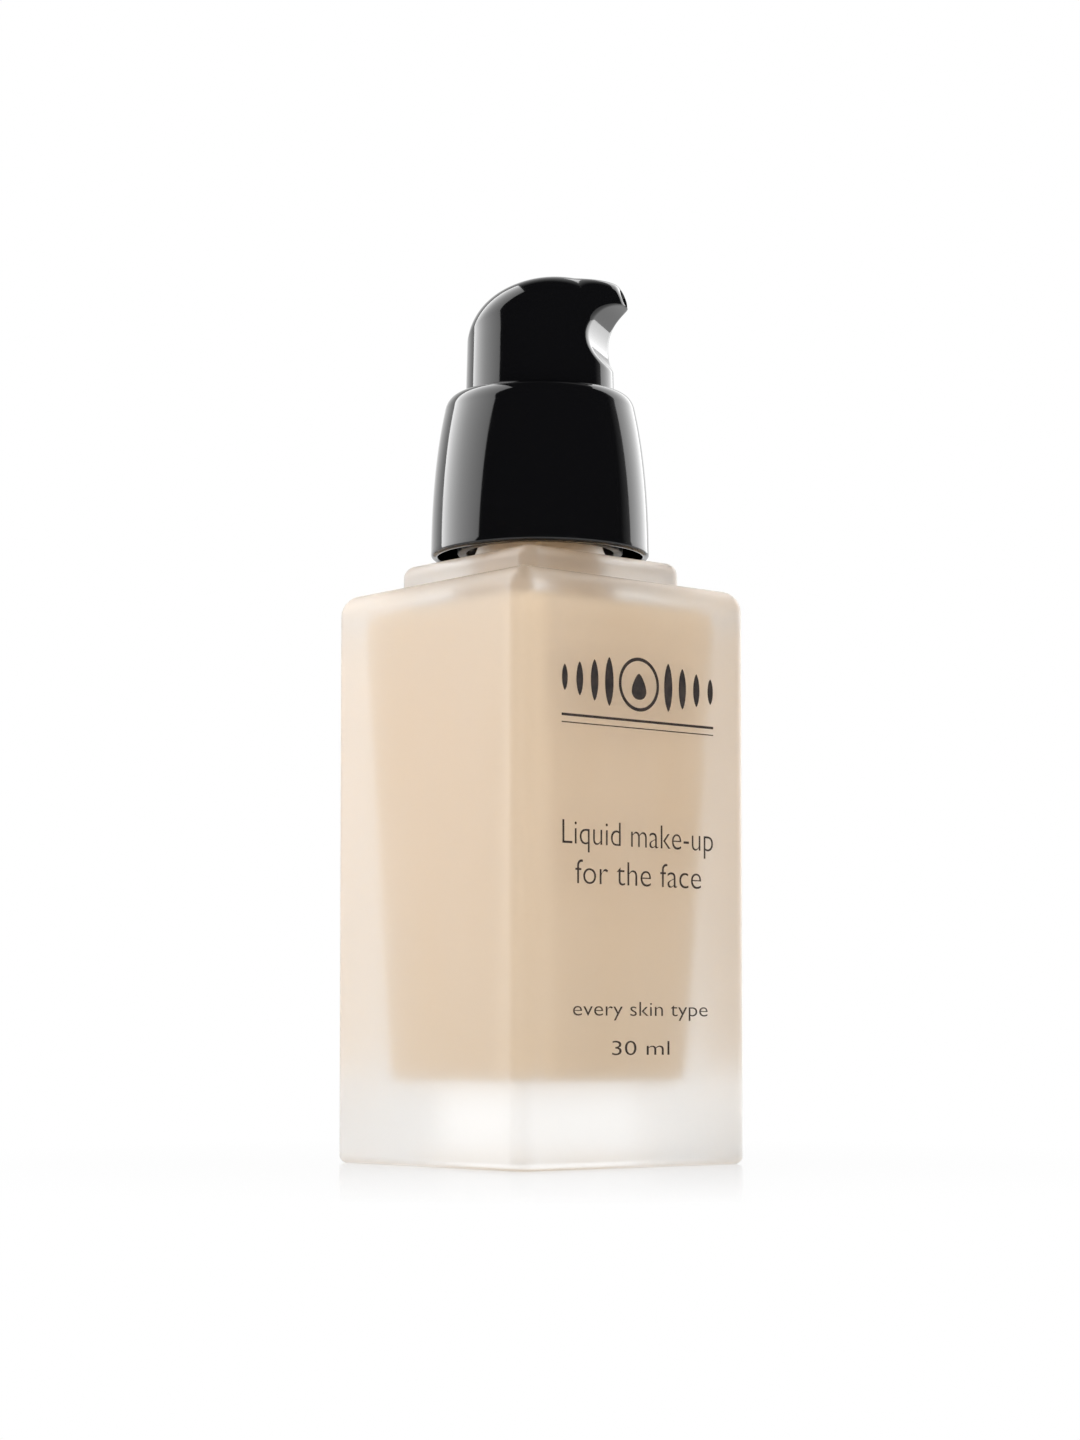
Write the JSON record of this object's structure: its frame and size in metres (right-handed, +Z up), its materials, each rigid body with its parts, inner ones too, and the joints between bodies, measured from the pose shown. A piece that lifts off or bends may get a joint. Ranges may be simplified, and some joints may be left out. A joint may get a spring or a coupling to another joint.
{
  "type": "foundation bottle",
  "caption": "Square thick-walled frosted glass foundation bottle with a black screw-on collar and a press-down treatment pump that swivels and pours from a beaked head.",
  "frame": {"origin": "centre of the bottle's base, on the surface it stands on", "axes": "+Z up along the pump's axis; -Y out of the printed face; -X out of the side face to its left as the print is read; the spout points 57 degrees clockwise from +X seen from above"},
  "size_m": [0.034, 0.034, 0.1013],
  "materials": {
    "frosted_glass": "satin-etched thick clear glass",
    "foundation_cream": "satin, liquid cosmetic",
    "black_gloss": "high gloss injection-moulded ABS",
    "black_plain": "satin moulded polypropylene",
    "white_foam": "closed-cell polyethylene foam",
    "natural_pp": "natural translucent polypropylene",
    "piston_pe": "soft polyethylene",
    "black_nitrile": "nitrile rubber",
    "spring_steel": "bright stainless wire",
    "ball_steel": "polished stainless ball"
  },
  "bodies": {
    "bottle": {"glass_bottle": "frosted_glass", "foundation_fill": "foundation_cream"},
    "pump_module": {"pump_housing": "natural_pp", "neck_gasket": "white_foam", "retaining_ring": "natural_pp", "stem_seal": "black_nitrile", "dip_tube": "natural_pp", "return_spring": "spring_steel"},
    "closure": {"screw_cap": "black_plain", "collar_shell": "black_gloss"},
    "plunger": {"stem": "natural_pp", "piston_rod": "natural_pp", "stem_plug": "natural_pp", "piston_spring": "spring_steel"},
    "piston_sleeve": {"piston": "piston_pe"},
    "head": {"actuator_shell": "black_gloss", "actuator_core": "black_plain", "nozzle_insert": "black_plain"},
    "ball": {"inlet_ball": "ball_steel"}
  },
  "joints": [
    {"name": "closure_lift", "type": "slide", "parent": "bottle", "child": "pump_module", "axis": [0, 0, 1], "range_m": [0, 0.00375]},
    {"name": "closure_unscrew", "type": "hinge", "parent": "pump_module", "child": "closure", "pos_m": [0, 0, 0.075], "axis": [0, 0, 1], "range_deg": [0, 450]},
    {"name": "pump_press", "type": "slide", "parent": "pump_module", "child": "plunger", "axis": [0, 0, 1], "range_m": [-0.0055, 0], "stiffness_N_per_m": 400, "springref_m": 0.012, "deforming": ["return_spring"]},
    {"name": "head_swivel", "type": "hinge", "parent": "plunger", "child": "head", "pos_m": [0, 0, 0.095], "axis": [0, 0, 1], "continuous": true},
    {"name": "piston_slip", "type": "slide", "parent": "plunger", "child": "piston_sleeve", "axis": [0, 0, 1], "range_m": [0, 0.001], "stiffness_N_per_m": 300, "springref_m": -0.004, "deforming": ["piston_spring"]},
    {"name": "inlet_ball_lift", "type": "slide", "parent": "pump_module", "child": "ball", "axis": [0, 0, 1], "range_m": [0, 0.001]}
  ],
  "couplings": [
    {"joint": "closure_lift", "follows": "closure_unscrew", "m_per_rad": 0.00047746}
  ]
}
